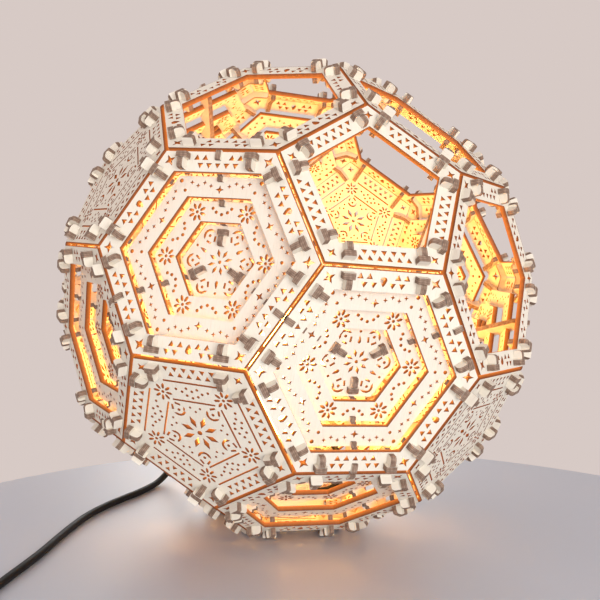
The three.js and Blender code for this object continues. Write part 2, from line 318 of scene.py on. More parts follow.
def birch_face(tree):
    """Sanded birch veneer: long pale grain, short dark pores and a soft figure."""
    place = sheet_place(tree)
    grain = noise(tree, stretched(tree, place, (0.02, 0.55, 0.3)), 1.0, 5.0)
    pores = noise(tree, stretched(tree, place, (0.12, 3.2, 1.0)), 1.0, 2.0)
    figure = noise(tree, stretched(tree, place, (0.015, 0.05, 0.1)), 1.0)
    dark_pores = tree.add("ShaderNodeValToRGB", {"stops": [(0.28, 1.0), (0.42, 0.0)]}, {"Fac": pores})
    warm = tree.mixed(figure, (0.80, 0.755, 0.67, 1), (0.74, 0.685, 0.59, 1))
    streaked = tree.mixed(grain * 0.4, warm, (0.68, 0.56, 0.44, 1))
    colour = tree.mixed(dark_pores * 0.25, streaked, (0.45, 0.30, 0.18, 1))
    return surface(tree, colour, 0.5 + grain * 0.25, bump=grain - dark_pores * 0.6, strength=0.25)


def laser_edge(tree, light, dark, **constants):
    """A laser-cut edge, with a darker glue line each side of the middle veneer."""
    place = sheet_place(tree)
    height = tree.add("ShaderNodeSeparateXYZ", {}, {0: place})["Z"]
    veneers = tree.add("ShaderNodeMath", {"operation": "PINGPONG"}, {0: height, 1: PLY / 6})
    glue = tree.add("ShaderNodeValToRGB", {"stops": [(0.0, 1.0), (0.5, 0.0)]}, {"Fac": veneers * 2})
    soot = noise(tree, place, 0.5, 4.0)
    fibres = noise(tree, stretched(tree, place, (2.5, 2.5, 0.3)), 1.0, 3.0)
    brown = tree.mixed(soot * 1.6 - 0.3, dark, light)
    colour = tree.mixed(glue * 0.7, brown, dark)
    return surface(tree, colour, 0.6 + fibres * 0.3, bump=fibres, strength=0.4, **constants)


def burnt_edge(tree):
    """The smoked edges of the brackets, keys and spokes."""
    return laser_edge(tree, (0.42, 0.29, 0.21, 1), (0.09, 0.044, 0.028, 1))


def lit_edge(tree):
    """The edges of panels and rings, with a painted glow: emission that stands in for the bulb's light
    falling on them, most at the inner face.
    """
    height = tree.add("ShaderNodeSeparateXYZ", {}, {0: sheet_place(tree)})["Z"]
    clamped = {"operation": "MULTIPLY", "use_clamp": True}
    inwards = tree.add("ShaderNodeMath", clamped, {0: height, 1: -1 / PLY})
    glow = tree.mixed(inwards, PAINTED_EDGE_GLOW_OUTSIDE, PAINTED_EDGE_GLOW_INSIDE)
    # Painted glow: the bulb's light on the cut edges, given as emission that grows towards the inner face.
    constants = {"Emission Color": glow, "Emission Strength": 1.0}
    return laser_edge(tree, (0.20, 0.055, 0.016, 1), (0.04, 0.010, 0.004, 1), **constants)


def lit_globe(tree):
    """Opal glass, lit warm from inside and a little dimmer towards the cap."""
    height = tree.add("ShaderNodeSeparateXYZ", {}, {0: object_place(tree)})["Z"]
    cloud = noise(tree, object_place(tree), 30.0)
    values = {"Value": height, "From Min": 57 * MM, "From Max": 95 * MM}
    lift = tree.add("ShaderNodeMapRange", {}, values)
    glow = tree.mixed(lift * (0.9 + cloud * 0.1), (1.0, 0.38, 0.055, 1), (1.0, 0.48, 0.095, 1))
    constants = {"Emission Color": glow, "Emission Strength": GLOBE_GLOW, "Coat Weight": 0.3}
    return surface(tree, (0.9, 0.82, 0.68, 1), 0.3 + cloud * 0.1, **constants)


def bright_metal(tree):
    """Rolled metal, brushed round by handling."""
    scratches = noise(tree, stretched(tree, object_place(tree), (300, 300, 2500)), 1.0)
    colour = tree.mixed(scratches, (0.62, 0.61, 0.58, 1), (0.80, 0.79, 0.76, 1))
    return surface(tree, colour, 0.22 + scratches * 0.2, bump=scratches, strength=0.08, Metallic=1.0)


def glazed_white(tree):
    """White moulded thermoset with faint clouding."""
    cloud = noise(tree, object_place(tree), 60.0)
    fine = noise(tree, object_place(tree), 900.0)
    colour = tree.mixed(cloud, (0.78, 0.76, 0.71, 1), (0.86, 0.84, 0.80, 1))
    return surface(tree, colour, 0.28 + cloud * 0.12, bump=fine, strength=0.05)


def black_sheath(tree):
    """The flex's smooth black sheath, with dull handling marks."""
    marks = noise(tree, object_place(tree), 220.0, 4.0)
    fine = noise(tree, object_place(tree), 2600.0)
    colour = tree.mixed(marks, (0.003, 0.003, 0.003, 1), (0.007, 0.007, 0.007, 1))
    constants = {"Specular IOR Level": 0.25}
    return surface(tree, colour, 0.40 + marks * 0.25, bump=fine, strength=0.1, depth=0.00005, **constants)


def spark_black(tree):
    """Black moulded plastic with the fine texture of a spark-eroded mould."""
    spark = noise(tree, object_place(tree), 3500.0, 2.0)
    worn = noise(tree, object_place(tree), 90.0)
    colour = tree.mixed(worn, (0.012, 0.012, 0.013, 1), (0.024, 0.024, 0.025, 1))
    return surface(tree, colour, 0.38 + spark * 0.25, bump=spark, strength=0.25, depth=0.0001)


def matt_rubber(tree):
    """Matt black rubber with a bloom of dust."""
    bloom = noise(tree, object_place(tree), 130.0, 5.0)
    fine = noise(tree, object_place(tree), 1800.0)
    colour = tree.mixed(bloom, (0.012, 0.012, 0.012, 1), (0.035, 0.034, 0.033, 1))
    return surface(tree, colour, 0.6 + bloom * 0.25, bump=fine, strength=0.2, depth=0.0001)


def table_top(tree):
    """A pale, smooth table with the faintest mottle."""
    cloud = noise(tree, object_place(tree), 6.0)
    colour = tree.mixed(cloud, (0.48, 0.51, 0.58, 1), (0.51, 0.54, 0.61, 1))
    return surface(tree, colour, 0.42 + cloud * 0.04)


GLOBE_GLOW = 37.0
# Painted glow on the cut edges, in place of the bulb's light falling on them: faint at the outer face, bright
# at the inner.
PAINTED_EDGE_GLOW_OUTSIDE = (0.03, 0.006, 0.001, 1)
PAINTED_EDGE_GLOW_INSIDE = (0.75, 0.19, 0.022, 1)
BIRCH = finish("birch_face", birch_face)
BURNT = finish("burnt_edge", burnt_edge)
LIT_EDGE = finish("lit_edge", lit_edge)
GLOBE = finish("lit_globe", lit_globe)
METAL = finish("bright_metal", bright_metal)
WHITE = finish("glazed_white", glazed_white)
SHEATH = finish("black_sheath", black_sheath)
BLACK = finish("spark_black", spark_black)
RUBBER = finish("matt_rubber", matt_rubber)


# ---------------------------------------------------------------- plywood cut by one node tree

def new_group(name, inputs):
    """A geometry node group with named inputs, as (its tree, its inputs' wires)."""
    group = bpy.data.node_groups.new(name, "GeometryNodeTree")
    group.interface.new_socket("Geometry", in_out="INPUT", socket_type="NodeSocketGeometry")
    for label, kind in inputs.items():
        group.interface.new_socket(label, in_out="INPUT", socket_type=kind)
    group.interface.new_socket("Geometry", in_out="OUTPUT", socket_type="NodeSocketGeometry")
    tree = Tree(group)
    return tree, tree.add("NodeGroupInput")


def grown(mesh, group, values):
    """The plain mesh that a node group makes of another, with its named inputs set."""
    holder = bpy.data.objects.new("holder", mesh)
    bpy.context.scene.collection.objects.link(holder)
    modifier = holder.modifiers.new("nodes", "NODES")
    modifier.node_group = group
    for item in group.interface.items_tree:
        if item.in_out == "INPUT" and item.name in values:
            modifier[item.identifier] = values[item.name]
    depsgraph = bpy.context.evaluated_depsgraph_get()
    made = bpy.data.meshes.new_from_object(holder.evaluated_get(depsgraph), depsgraph=depsgraph)
    bpy.data.objects.remove(holder)
    return made


def circle(tree, points):
    """A regular outline of radius 1."""
    values = {"Resolution": points, "Radius": 1.0}
    return tree.add("GeometryNodeCurvePrimitiveCircle", {"mode": "RADIUS"}, values)


def square(tree):
    return tree.add("GeometryNodeCurvePrimitiveQuadrilateral", {}, {"Width": 2.0, "Height": 2.0})


def star(tree):
    values = {"Points": 4, "Inner Radius": 0.38, "Outer Radius": 1.0}
    return tree.add("GeometryNodeCurveStar", {}, values)


def bent(tree, curve, x, y):
    """An outline with new x and y for each of its points."""
    place = tree.add("ShaderNodeCombineXYZ", {}, {"X": x, "Y": y})
    return tree.add("GeometryNodeSetPosition", {}, {"Geometry": curve, "Position": place})


def drop(tree):
    """A round outline that narrows towards +x."""
    place = tree.add("ShaderNodeSeparateXYZ", {}, {0: tree.add("GeometryNodeInputPosition")})
    return bent(tree, circle(tree, 10), place["X"], place["Y"] * (0.62 - place["X"] * 0.38))


def bow(tree):
    """A thin slot that follows a circle of radius 1 round its -x side."""
    sweep, half_width = math.radians(185), 0.21
    along = tree.add("GeometryNodeSplineParameter")["Factor"]
    side = (0.5 - along).maths("SIGN", 0.5 - along)
    angle = math.pi + (0.5 - abs(2 * along - 1)) * sweep
    radius = 1 + side * half_width
    x = radius * angle.maths("COSINE", angle)
    y = radius * angle.maths("SINE", angle)
    return bent(tree, circle(tree, 18), x, y)


# The outlines that are cut out of a sheet, at radius 1 and pointing along +x.
MOTIFS = {
    "triangle": lambda tree: circle(tree, 3),
    "leaf": lambda tree: circle(tree, 4),
    "petal": lambda tree: circle(tree, 6),
    "dot": lambda tree: circle(tree, 8),
    "slot": square,
    "star": star,
    "drop": drop,
    "bow": bow,
}


def attribute(tree, name, kind):
    return tree.add("GeometryNodeInputNamedAttribute", {"data_type": kind}, {"Name": name})


def cut_outs(tree, points):
    """Each motif's outline on the points that ask for it, turned and sized."""
    turn = {"Axis": (0, 0, 1), "Angle": attribute(tree, "turn", "FLOAT")}
    rotation = tree.add("FunctionNodeAxisAngleToRotation", {}, turn)
    motif = attribute(tree, "motif", "INT")
    settings = {"data_type": "INT", "operation": "EQUAL"}
    outlines = []
    for index, draw in enumerate(MOTIFS.values()):
        chosen = tree.add("FunctionNodeCompare", settings, {2: motif, 3: index})
        values = {"Points": points, "Selection": chosen, "Instance": draw(tree)}
        values |= {"Rotation": rotation, "Scale": attribute(tree, "size", "FLOAT_VECTOR")}
        outlines.append(tree.add("GeometryNodeInstanceOnPoints", {}, values))
    return outlines


def cut_sheet_group():
    """Cuts outlines out of a sheet: the mesh's edges bound it, and its loose points ask for motifs."""
    inputs = {"Thickness": "NodeSocketFloat", "Edge": "NodeSocketMaterial"}
    tree, given = new_group("cut_sheet", inputs)
    border = tree.add("GeometryNodeMeshToCurve", {}, {"Mesh": given["Geometry"]})
    outlines = tree.add("GeometryNodeJoinGeometry", {}, {0: [border, *cut_outs(tree, given["Geometry"])]})
    plain = tree.add("GeometryNodeRealizeInstances", {}, {0: outlines})
    flat = tree.add("GeometryNodeFillCurve", {"mode": "TRIANGLES"}, {"Curve": plain})
    down = tree.add("ShaderNodeCombineXYZ", {}, {"Z": 0 - given["Thickness"]})
    under = tree.add("GeometryNodeTransform", {}, {"Geometry": flat, "Translation": down})
    values = {"Mesh": under, "Offset Scale": given["Thickness"], "Individual": False}
    thick = tree.add("GeometryNodeExtrudeMesh", {"mode": "FACES"}, values)
    values = {"Geometry": thick["Mesh"], "Name": "cut_edge", "Value": thick["Side"]}
    settings = {"data_type": "BOOLEAN", "domain": "FACE"}
    marked = tree.add("GeometryNodeStoreNamedAttribute", settings, values)
    back = tree.add("GeometryNodeFlipFaces", {}, {"Mesh": under})
    both = tree.add("GeometryNodeJoinGeometry", {}, {0: [marked, back]})
    whole = tree.add("GeometryNodeMergeByDistance", {}, {"Geometry": both, "Distance": 0.001})
    values = {"Geometry": whole, "Name": "sheet", "Value": tree.add("GeometryNodeInputPosition")}
    settings = {"data_type": "FLOAT_VECTOR", "domain": "POINT"}
    named = tree.add("GeometryNodeStoreNamedAttribute", settings, values)
    finished(tree, named, given["Edge"])
    return tree.nodes


def finished(tree, geometry, edge):
    """Ends a tree: pale faces, and the edge's own material wherever the laser cut."""
    plain = tree.add("GeometryNodeRealizeInstances", {}, {0: geometry})
    pale = tree.add("GeometryNodeSetMaterial", {}, {"Geometry": plain, "Material": BIRCH})
    values = {"Geometry": pale, "Selection": attribute(tree, "cut_edge", "BOOLEAN"), "Material": edge}
    tree.add("NodeGroupOutput", {}, {"Geometry": tree.add("GeometryNodeSetMaterial", {}, values)})


def copies_group():
    """Sets a copy of one piece on each of the mesh's points, turned as the point's facing says."""
    tree, given = new_group("copies", {"Piece": "NodeSocketObject"})
    piece = tree.add("GeometryNodeObjectInfo", {}, {"Object": given["Piece"]})["Geometry"]
    facing = tree.add("FunctionNodeEulerToRotation", {}, {0: attribute(tree, "facing", "FLOAT_VECTOR")})
    values = {"Points": given["Geometry"], "Instance": piece, "Rotation": facing}
    finished(tree, tree.add("GeometryNodeInstanceOnPoints", {}, values), BURNT)
    return tree.nodes


CUT_SHEET = cut_sheet_group()
COPIES = copies_group()


class Cut(NamedTuple):
    """One motif cut out of a sheet, at a place, turned about it, with its half-sizes."""
    motif: str
    x: float
    y: float
    turn: float
    size: tuple


def cut(motif, x, y=0.0, size=1.0, turn=0.0):
    return Cut(motif, x, y, turn, size if isinstance(size, tuple) else (size, size))


def spread(count, pitch):
    """Evenly spaced offsets about nought."""
    return [(i - (count - 1) / 2) * pitch for i in range(count)]


def row(motif, x, offsets, size, turn=0.0):
    return [cut(motif, x, y, size, turn) for y in offsets]


def turned(cuts, angle):
    """The same cuts, turned about the centre."""
    c, s = math.cos(angle), math.sin(angle)
    return [Cut(m, x * c - y * s, x * s + y * c, turn + angle, size) for m, x, y, turn, size in cuts]


def shifted(cuts, x, y=0.0):
    return [Cut(m, cx + x, cy + y, turn, size) for m, cx, cy, turn, size in cuts]


def flower(motif, petals, start, end, width, eye):
    """Petals round a dot, from one radius to another."""
    petal = [cut(motif, (start + end) / 2, size=((end - start) / 2, width / 2))]
    ring = [one for i in range(petals) for one in turned(petal, TAU * i / petals)]
    return ring + [cut("dot", 0, size=eye)]


def onion(radius):
    """An outline of three strokes round a dot, with its point along +x."""
    strokes = [cut("bow", 0, size=radius), cut("dot", 0, size=0.28 * radius)]
    for side in (1, -1):
        lean = -side * math.radians(36)
        stroke = (0.5 * radius, 0.19 * radius)
        strokes.append(cut("slot", 0.98 * radius, side * 0.62 * radius, stroke, lean))
    return strokes


def polygon(sides, apothem, first_corner, notch=0.0):
    """A regular outline. A notch of that depth lets a spoke's tab into every other side."""
    radius = apothem / math.cos(math.pi / sides)
    half = PLY / 2 + SLIP
    floor = apothem - notch
    points = []
    for k in range(sides):
        corner = first_corner + TAU * k / sides
        points.append((radius * math.cos(corner), radius * math.sin(corner)))
        if notch and k % 2 == 0:
            c, s = math.cos(corner + math.pi / sides), math.sin(corner + math.pi / sides)
            for x, y in ((apothem, -half), (floor, -half), (floor, half), (apothem, half)):
                points.append((x * c - y * s, x * s + y * c))
    return points


def rounded(corners, steps=4):
    """An outline through corners of (x, y, how much is rounded off)."""
    points = []
    for i, (x, y, cut_back) in enumerate(corners):
        here = Vector((x, y))
        if not cut_back:
            points.append((x, y))
            continue
        before = Vector(corners[i - 1][:2])
        after = Vector(corners[(i + 1) % len(corners)][:2])
        start = here + (before - here).normalized() * cut_back
        end = here + (after - here).normalized() * cut_back
        for k in range(steps + 1):
            t = k / steps
            point = (1 - t) ** 2 * start + 2 * t * (1 - t) * here + t * t * end
            points.append(tuple(point))
    return points


def cut_sheet(outlines, cuts=(), edge=None):
    """A plywood piece with its outer face at z = 0."""
    mesh = bpy.data.meshes.new("outlines")
    corners = [point for outline in outlines for point in outline]
    edges, start = [], 0
    for outline in outlines:
        count = len(outline)
        edges += [(start + i, start + (i + 1) % count) for i in range(count)]
        start += count
    places = [(x, y, 0) for x, y in corners] + [(one.x, one.y, 0) for one in cuts]
    mesh.from_pydata(places, edges, [])
    names = list(MOTIFS)
    motifs = [-1] * len(corners) + [names.index(one.motif) for one in cuts]
    turns = [0.0] * len(corners) + [one.turn for one in cuts]
    sizes = [(1, 1, 1)] * len(corners) + [(*one.size, 1) for one in cuts]
    put(mesh, "motif", "INT", "value", motifs)
    put(mesh, "turn", "FLOAT", "value", turns)
    put(mesh, "size", "FLOAT_VECTOR", "vector", sizes)
    return grown(mesh, CUT_SHEET, {"Thickness": PLY, "Edge": edge or BURNT})


def put(mesh, name, kind, field, values):
    """Stores one value for each of a mesh's points."""
    layer = mesh.attributes.new(name, kind, "POINT")
    layer.data.foreach_set(field, np.array(values).ravel())


def centred(mesh):
    """The same piece with nought in the middle of its thickness."""
    mesh.transform(Matrix.Translation((0, 0, PLY / 2)))
    return mesh


# ---------------------------------------------------------------- the faces of the ball

class Face(NamedTuple):
    name: str
    sides: int
    apothem: float
    first_corner: float
    normal: Vector
    place: Matrix
    framed: bool
    closed: bool


def direction(z, degrees):
    angle = math.radians(degrees)
    radius = math.sqrt(1 - z * z)
    return Vector((radius * math.cos(angle), radius * math.sin(angle), z))


# The twelve pentagons lie along the corners of an icosahedron that stands on one corner.
RING_Z = 1 / math.sqrt(5)
TOP = Vector((0, 0, 1))
BASE = Vector((0, 0, -1))
UPPER = [direction(RING_Z, 72 * k) for k in range(5)]
LOWER = [direction(-RING_Z, 72 * k + 36) for k in range(5)]


def face_place(normal, toward, distance):
    """The face's own frame: z outwards, and x towards one neighbour."""
    x = (toward - normal * toward.dot(normal)).normalized()
    turn = Matrix((x, normal.cross(x), normal)).transposed().to_4x4()
    return Matrix.Translation(Vector((0, 0, BALL_HEIGHT)) + normal * distance) @ turn


def pentagon(name, normal, toward, framed=False):
    place = face_place(normal, toward, PENTAGON_DISTANCE)
    return Face(f"pentagon_{name}", 5, PENTAGON_APOTHEM, 0.0, normal, place, framed, False)


def hexagon(name, first, second, third, opened=False):
    normal = (first + second + third).normalized()
    place = face_place(normal, first, HEXAGON_DISTANCE)
    corner = math.pi / 6
    return Face(f"hexagon_{name}", 6, HEXAGON_APOTHEM, corner, normal, place, True, not opened)


def ball_faces():
    faces = [pentagon("top", TOP, UPPER[0], True), pentagon("base", BASE, LOWER[0])]
    for k in range(5):
        after = (k + 1) % 5
        faces += [
            pentagon(f"upper_{k}", UPPER[k], TOP, k in (0, 4)),
            pentagon(f"lower_{k}", LOWER[k], BASE),
            hexagon(f"crown_{k}", TOP, UPPER[k], UPPER[after], k in (0, 3, 4)),
            hexagon(f"shoulder_{k}", LOWER[k], UPPER[k], UPPER[after], k == 4),
            hexagon(f"waist_{k}", UPPER[after], LOWER[k], LOWER[after]),
            hexagon(f"foot_{k}", BASE, LOWER[k], LOWER[after]),
        ]
    return faces


FACES = ball_faces()


def publish(name, mesh, body="shade", nodes=()):
    """Makes a mesh a piece of the lamp."""
    piece = bpy.data.objects.new(name, mesh)
    bpy.context.scene.collection.objects.link(piece)
    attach(piece, body)
    if nodes:
        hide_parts(*nodes)
    return piece


def laid(mesh, place, shift=0.0):
    """A copy of a plywood piece in its place, cut from another part of the sheet."""
    copy = mesh.copy()
    copy.transform(Matrix.Scale(MM, 4) @ place)
    layer = copy.attributes["sheet"].data
    values = np.empty(len(layer) * 3, np.float32)
    layer.foreach_get("vector", values)
    values = values.reshape(-1, 3) + np.array((shift, 0.37 * shift, 0), np.float32)
    layer.foreach_set("vector", values.ravel())
    return copy


def merged(meshes):
    """Several meshes as one, with their materials and attributes kept."""
    whole = bmesh.new()
    for mesh in meshes:
        whole.from_mesh(mesh)
    made = meshes[0].copy()
    whole.to_mesh(made)
    whole.free()
    return made


# ---------------------------------------------------------------- panels

def side_angle(face_sides, first_corner, k):
    return first_corner + (2 * k + 1) * math.pi / face_sides


def patterned(sides, first_corner, by_side, by_corner):
    """Repeats the side patterns, in turn, and the corner pattern round a regular piece."""
    cuts = []
    for k in range(sides):
        cuts += turned(by_side[k % len(by_side)], side_angle(sides, first_corner, k))
        cuts += turned(by_corner, first_corner + TAU * k / sides)
    return cuts


# A bracket's hook, as distances from the ideal edge
NECK = (5.7, 8.4)
HEAD_END = 10.8
HEAD_HEIGHT = 4.8
ARM_END = 11.2
ARM_DEPTH = 3.4
KEY_MIDDLE = NECK[0] - 0.1 - PLY / 2
KEY_SIZE = (6.0, 4.6)        # along the edge, and its height


def hook_slots(apothem):
    """The slots that the brackets' necks come through."""
    half = (NECK[1] - NECK[0]) / 2 + 0.1
    return row("slot", apothem - sum(NECK) / 2, (-HOOK_OFFSET, HOOK_OFFSET), (half, PLY / 2 + SLIP))


def pentagon_border():
    inwards, outwards = math.pi, 0.0
    return [
        *hook_slots(PENTAGON_APOTHEM),
        *row("triangle", 37.0, spread(6, 4.9), 1.75, inwards),
        *row("triangle", 33.4, spread(5, 4.9), 1.75, outwards),
    ]


def closed_pentagon():
    lens = [cut("dot", 25.0, size=0.8), cut("dot", 21.2, size=0.8)]
    for x, offset in ((25.4, 8.6), (24.2, 5.4), (26.4, 2.9), (22.3, 3.0)):
        lens += row("dot", x, (-offset, offset), 0.8)
    side = [
        *pentagon_border(),
        cut("slot", 29.6, size=(0.5, 15)),
        *lens,
        cut("slot", 18.8, size=(0.5, 11.5)),
        *row("dot", 15.2, (-2.7, 2.7), 0.7),
        cut("dot", 13.0, size=0.7),
    ]
    corner = [
        cut("star", 43.7, size=2.6),
        *shifted(flower("petal", 8, 1.6, 5.3, 1.6, 0.9), 27.8),
        *shifted(onion(3.1), 15.8),
    ]
    centre = turned(flower("leaf", 8, 3.2, 10.6, 3.0, 1.4), math.pi / 8)
    cuts = patterned(5, 0.0, [side], corner) + centre
    return cut_sheet([polygon(5, PENTAGON_APOTHEM - EDGE_INSET, 0.0)], cuts, LIT_EDGE)


def open_pentagon():
    outlines = [polygon(5, PENTAGON_APOTHEM - back, 0.0) for back in (EDGE_INSET, FRAME_BAND)]
    cuts = patterned(5, 0.0, [pentagon_border()], [cut("star", 43.7, size=2.6)])
    return cut_sheet(outlines, cuts, LIT_EDGE)


def hexagon_rows():
    inwards, outwards = math.pi, 0.0
    return [
        *hook_slots(HEXAGON_APOTHEM),
        *row("triangle", 44.0, (-9.4, -4.7, 4.7, 9.4), 1.85, inwards),
        *row("triangle", 47.4, (-11.6, -7.1, 7.1, 11.6), 1.85, outwards),
    ]


SPOKE_BAR = 4.2              # the length of a spoke's end, which stands in a notch of the frame
SPOKE_TAB = 2.6              # and of its tab in a notch of each ring
SPOKE_DEPTH = 4.5            # how deep it is under the plywood it carries
BAR_PROUD = 1.3              # how far its end stands out of the frame
TAB_PROUD = 1.5              # and its tabs out of the rings
CROWN_HOOK = (7.9, 13.2)     # its hook on the centre plate
CROWN_HEIGHT = 3.4
CROWN_LIP = 0.9


def spoke_slot(start, end):
    return cut("slot", (start + end) / 2, size=((end - start) / 2 + 0.1, PLY / 2 + SLIP))


def hexagon_frame(closed):
    by_pentagon = [*hexagon_rows(), cut("drop", 45.4, size=(2.4, 2.5), turn=math.pi)]
    by_hexagon = [*hexagon_rows(), cut("triangle", 44.0, size=1.7, turn=math.pi)]
    outlines = [
        polygon(6, HEXAGON_APOTHEM - EDGE_INSET, math.pi / 6, SPOKE_BAR + 0.1 if closed else 0.0),
        polygon(6, OPENING, math.pi / 6),
    ]
    corner = [cut("star", 53.0, size=3.2)]
    cuts = patterned(6, math.pi / 6, [by_hexagon, by_pentagon], corner)
    return cut_sheet(outlines, cuts, LIT_EDGE)


def ring_outlines(apothem):
    inside = polygon(6, apothem - RING_BAND, math.pi / 6)
    return [polygon(6, apothem, math.pi / 6, SPOKE_TAB + 0.1), inside]


def outer_ring():
    middle = RING_1 - RING_BAND / 2
    side = [cut("star", middle - 1.3, size=2.3)]
    for i, offset in enumerate((5.0, 8.6, 12.1, 15.6)):
        side += row("star", middle + (0.4, 1.9)[i % 2], (-offset, offset), 1.3)
    corner = [cut("dot", 43.4, size=1.1), cut("dot", 37.8, size=0.9)]
    cuts = patterned(6, math.pi / 6, [side], corner)
    return cut_sheet(ring_outlines(RING_1), cuts, LIT_EDGE)


def inner_ring():
    arch = [cut("dot", 22.8, size=0.9)]
    arch += row("dot", 23.9, (-3.1, 3.1), 0.9) + row("dot", 25.8, (-5.1, 5.1), 0.9)
    corner = shifted(flower("petal", 8, 1.5, 5.0, 1.7, 0.85), 27.2)
    cuts = patterned(6, math.pi / 6, [arch], corner)
    return cut_sheet(ring_outlines(RING_2), cuts, LIT_EDGE)


def centre_plate():
    start, end = CROWN_HOOK
    at_spoke = [spoke_slot(start + CROWN_LIP, end - CROWN_LIP)]
    plain = [cut("drop", 11.6, size=(2.1, 1.3)), cut("dot", 15.9, size=0.75)]
    corner = shifted(turned(onion(2.9), math.pi), 15.2)
    cuts = patterned(6, math.pi / 6, [at_spoke, plain], corner)
    cuts += turned(flower("leaf", 8, 2.4, 6.9, 1.9, 0.95), math.pi / 3)
    return cut_sheet([polygon(6, PLATE, math.pi / 6)], cuts, LIT_EDGE)


def make_panels():
    pentagons = {True: open_pentagon(), False: closed_pentagon()}
    hexagons = {True: hexagon_frame(True), False: hexagon_frame(False)}
    for number, face in enumerate(FACES):
        if face.sides == 5:
            mesh = pentagons[face.framed]
        else:
            mesh = hexagons[face.closed]
        panel = laid(mesh, face.place, 71.0 * number)
        publish(f"panel_{face.name}", panel, nodes=[face.name])


def make_rings():
    levels = [(outer_ring(), RING_STEP), (inner_ring(), 2 * RING_STEP)]
    plate = centre_plate()
    for number, face in enumerate(FACES):
        if not face.closed:
            continue
        node = face.name.replace("hexagon", "rings")
        rings = [laid(mesh, sunk(face, depth), 47.0 * number + depth) for mesh, depth in levels]
        publish(node.replace("rings", "ring_pair"), merged(rings), nodes=[node])
        centre = laid(plate, sunk(face, 3 * RING_STEP), 31.0 * number)
        publish(node.replace("rings", "centre_plate"), centre, nodes=[node])


def sunk(face, depth):
    return face.place @ Matrix.Translation((0, 0, -depth))


# ---------------------------------------------------------------- brackets, keys and spokes

def copies_of(mesh, places):
    """One mesh with a copy of a piece at each place."""
    piece = bpy.data.objects.new("pattern", mesh)
    points = bpy.data.meshes.new("points")
    points.from_pydata([place.translation for place in places], [], [])
    put(points, "facing", "FLOAT_VECTOR", "vector", [tuple(place.to_euler()) for place in places])
    made = grown(points, COPIES, {"Piece": piece})
    bpy.data.objects.remove(piece)
    made.transform(Matrix.Scale(MM, 4))
    return made


def standing(origin, along, up):
    """A frame at a point, with x along one direction and y up another."""
    turn = Matrix((along, up, along.cross(up))).transposed().to_4x4()
    return Matrix.Translation(origin) @ turn


def face_sides(face):
    """For each side, its middle, the direction inwards from it and the direction along it."""
    for k in range(face.sides):
        angle = side_angle(face.sides, face.first_corner, k)
        outwards = Vector((math.cos(angle), math.sin(angle), 0))
        middle = face.place @ (outwards * face.apothem)
        inwards = -(face.place.to_3x3() @ outwards)
        yield middle, inwards, inwards.cross(face.normal)


def ball_edges():
    """Each edge once: a face, the edge's middle, the directions across and out, and the slope."""
    centre = Vector((0, 0, BALL_HEIGHT))
    for number, face in enumerate(FACES):
        for middle, inwards, _ in face_sides(face):
            for other in FACES[number + 1:]:
                reach = (middle - centre).dot(other.normal) - (other.place.translation - centre).length
                if abs(reach) > 0.01:
                    continue
                up = (face.normal + other.normal).normalized()
                across = (inwards - up * inwards.dot(up)).normalized()
                yield face, middle, across, up, face.normal.angle(up)


def bracket(slope, right_height):
    """A plate that crosses under an edge and comes up through both panels in a hook."""
    c, s = math.cos(slope), math.sin(slope)
    under = -PLY - PANEL_GAP
    sides = []
    for height in (right_height, HEAD_HEIGHT):
        profile = [
            (ARM_END, under - ARM_DEPTH, 1.2), (ARM_END, under, 0.6),
            (NECK[1], under, 0), (NECK[1], PANEL_GAP, 0),
            (HEAD_END, PANEL_GAP, 0.3), (HEAD_END, height, 2.2),
            (NECK[0], height, 0.7), (NECK[0], under, 0),
        ]
        sides.append([(r * c + h * s, -r * s + h * c, cut_back) for r, h, cut_back in profile])
    left = [(-x, y, cut_back) for x, y, cut_back in reversed(sides[1])]
    middle_top = (0.0, under / c, 1.5)
    middle_low = (0.0, (under - ARM_DEPTH) / c, 1.5)
    return centred(cut_sheet([rounded([*sides[0], middle_top, *left, middle_low])]))


def make_brackets():
    """Two to each edge. The ones round the base have a taller hook, on which the lamp stands."""
    groups = {}
    for face, middle, across, up, slope in ball_edges():
        along = across.cross(up)
        kind = (round(slope, 3), face.name == "pentagon_base")
        for offset in (-HOOK_OFFSET, HOOK_OFFSET):
            groups.setdefault(kind, []).append(standing(middle + along * offset, across, up))
    names = ("edge_brackets_pentagon", "edge_brackets_base", "edge_brackets_hexagon")
    for name, (kind, places) in zip(names, sorted(groups.items(), key=lambda item: item[0])):
        mesh = bracket(kind[0], HOOK_HEIGHT - 0.1 if kind[1] else HEAD_HEIGHT)
        publish(name, copies_of(mesh, places))


def key_outline(width, height):
    half = width / 2
    return [(-half, 0, 0.3), (half, 0, 0.3), (half, height, 0.9), (-half, height, 0.9)]


def make_keys():
    """The small blocks that lock the hooks on the panels."""
    places = []
    for face in FACES:
        for middle, inwards, along in face_sides(face):
            for offset in (-HOOK_OFFSET, HOOK_OFFSET):
                at = middle + inwards * KEY_MIDDLE + along * offset + face.normal * 0.1
                places.append(standing(at, along, face.normal))
    key = centred(cut_sheet([rounded(key_outline(*KEY_SIZE), 3)]))
    publish("hook_keys", copies_of(key, places))


